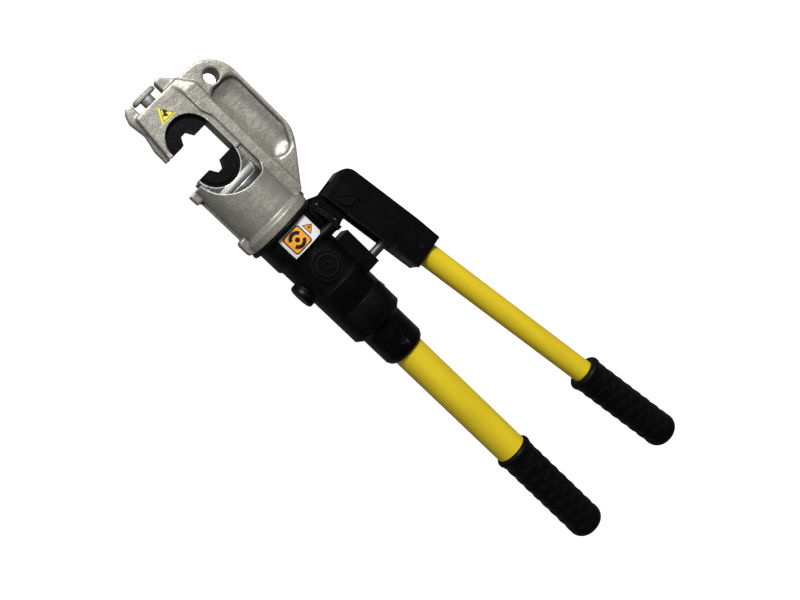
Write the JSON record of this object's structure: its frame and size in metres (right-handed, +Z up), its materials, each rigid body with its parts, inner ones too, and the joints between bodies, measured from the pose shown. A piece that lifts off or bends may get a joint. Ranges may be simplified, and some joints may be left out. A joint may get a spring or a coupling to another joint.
{
  "type": "hydraulic crimping tool",
  "caption": "Two-handed manual hydraulic crimper with a C-shaped swivelling head, half-round crimping dies, a pump body and long yellow handles with black grips.",
  "frame": {"origin": "centre of the footprint, on the surface under the tool lying on its side with the dies' axis level", "axes": "+X along the ram's axis from the jaw to the grips, +Y towards the moving handle, +Z up, across the jaw's thickness"},
  "size_m": [0.5951, 0.1744, 0.071],
  "materials": {
    "cast_steel": "satin, cast texture under silver paint",
    "black_oxide": "black oxide, low sheen",
    "ground_steel": "ground and polished",
    "zinc_steel": "dull zinc plate",
    "spring_steel": "drawn wire",
    "bronze": "machined bronze",
    "seal_rubber": "matt rubber",
    "black_paint": "semi-gloss black enamel on castings",
    "black_screws": "black oxide",
    "yellow_tube": "satin yellow fibreglass",
    "grip_rubber": "moulded rubber with a scalloped surface",
    "label_white": "printed vinyl with a plain pictogram",
    "sticker_yellow": "printed vinyl with a plain pictogram"
  },
  "bodies": {
    "pump": {"pump_body": "black_paint", "swivel_seal": "seal_rubber", "info_label": "label_white", "oil_housing": "black_paint", "pivot_bracket": "black_paint", "bracket_bolts": "black_screws", "relief_plug": "black_paint", "relief_spring": "spring_steel", "valve_cap": "black_paint", "valve_spring": "spring_steel", "plunger_gland": "bronze", "plunger_seal": "seal_rubber", "release_spring": "spring_steel", "oil_bladder": "seal_rubber", "filler_plug": "bronze", "fixed_tube": "yellow_tube", "fixed_tube_pin": "black_screws", "fixed_grip": "grip_rubber"},
    "head": {"yoke_head": "cast_steel", "upper_die": "black_oxide", "cylinder_base": "zinc_steel", "spring_anchor_rear": "zinc_steel", "return_spring": "spring_steel", "lock_ring": "black_paint", "die_lock_bush": "zinc_steel", "die_lock_spring": "spring_steel", "warning_sticker": "sticker_yellow"},
    "ram": {"ram": "ground_steel", "lower_die": "black_oxide", "die_dowel": "zinc_steel", "ram_seal": "seal_rubber", "ram_guide_ring": "bronze", "spring_anchor_front": "zinc_steel"},
    "die_lock": {"die_lock_pin": "zinc_steel", "die_lock_knob": "zinc_steel"},
    "relief_poppet": {"relief_poppet": "ground_steel"},
    "valve_ball": {"valve_ball": "ground_steel"},
    "release_button": {"release_button": "zinc_steel"},
    "plunger": {"plunger": "ground_steel", "link_pin": "zinc_steel"},
    "handle": {"handle_socket": "black_paint", "pivot_pin": "black_screws", "pivot_clip": "spring_steel", "moving_tube": "yellow_tube", "moving_tube_pin": "black_screws", "moving_grip": "grip_rubber", "lever_pin": "black_screws"},
    "release_lever": {"release_lever": "zinc_steel"}
  },
  "joints": [
    {"name": "head_swivel", "type": "hinge", "parent": "pump", "child": "head", "pos_m": [-0.1296, -0.04974, 0.0355], "axis": [1, 0, 0], "range_deg": [-90, 90]},
    {"name": "ram_slide", "type": "slide", "parent": "head", "child": "ram", "axis": [-1, 0, 0], "range_m": [0, 0.03], "stiffness_N_per_m": 3000, "springref_m": -0.03, "deforming": ["return_spring"]},
    {"name": "die_lock_pull", "type": "slide", "parent": "head", "child": "die_lock", "axis": [-1, 0, 0], "range_m": [0, 0.005], "stiffness_N_per_m": 1200, "springref_m": -0.004, "deforming": ["die_lock_spring"]},
    {"name": "relief_lift", "type": "slide", "parent": "pump", "child": "relief_poppet", "axis": [0, 0, 1], "range_m": [0, 0.0008], "stiffness_N_per_m": 3000, "springref_m": -0.002, "deforming": ["relief_spring"]},
    {"name": "check_ball_lift", "type": "slide", "parent": "pump", "child": "valve_ball", "axis": [0, -1, 0], "range_m": [0, 0.0008], "stiffness_N_per_m": 400, "springref_m": -0.001, "deforming": ["valve_spring"]},
    {"name": "release_press", "type": "slide", "parent": "pump", "child": "release_button", "axis": [0, -1, 0], "range_m": [0, 0.0025], "stiffness_N_per_m": 900, "springref_m": -0.002, "deforming": ["release_spring"]},
    {"name": "handle_pivot", "type": "hinge", "parent": "pump", "child": "handle", "pos_m": [-0.1061, 0.01046, 0.0355], "axis": [0, 0, 1], "range_deg": [-5, 25]},
    {"name": "plunger_slide", "type": "slide", "parent": "pump", "child": "plunger", "axis": [0, 1, 0], "range_m": [-0.0056, 0.0278]},
    {"name": "release_lever_fold", "type": "hinge", "parent": "handle", "child": "release_lever", "pos_m": [-0.04293, 0.00983, 0.0355], "axis": [0, 0, -1], "range_deg": [0, 50]}
  ],
  "couplings": [
    {"joint": "plunger_slide", "follows": "handle_pivot", "m_per_rad": 0.0634}
  ]
}
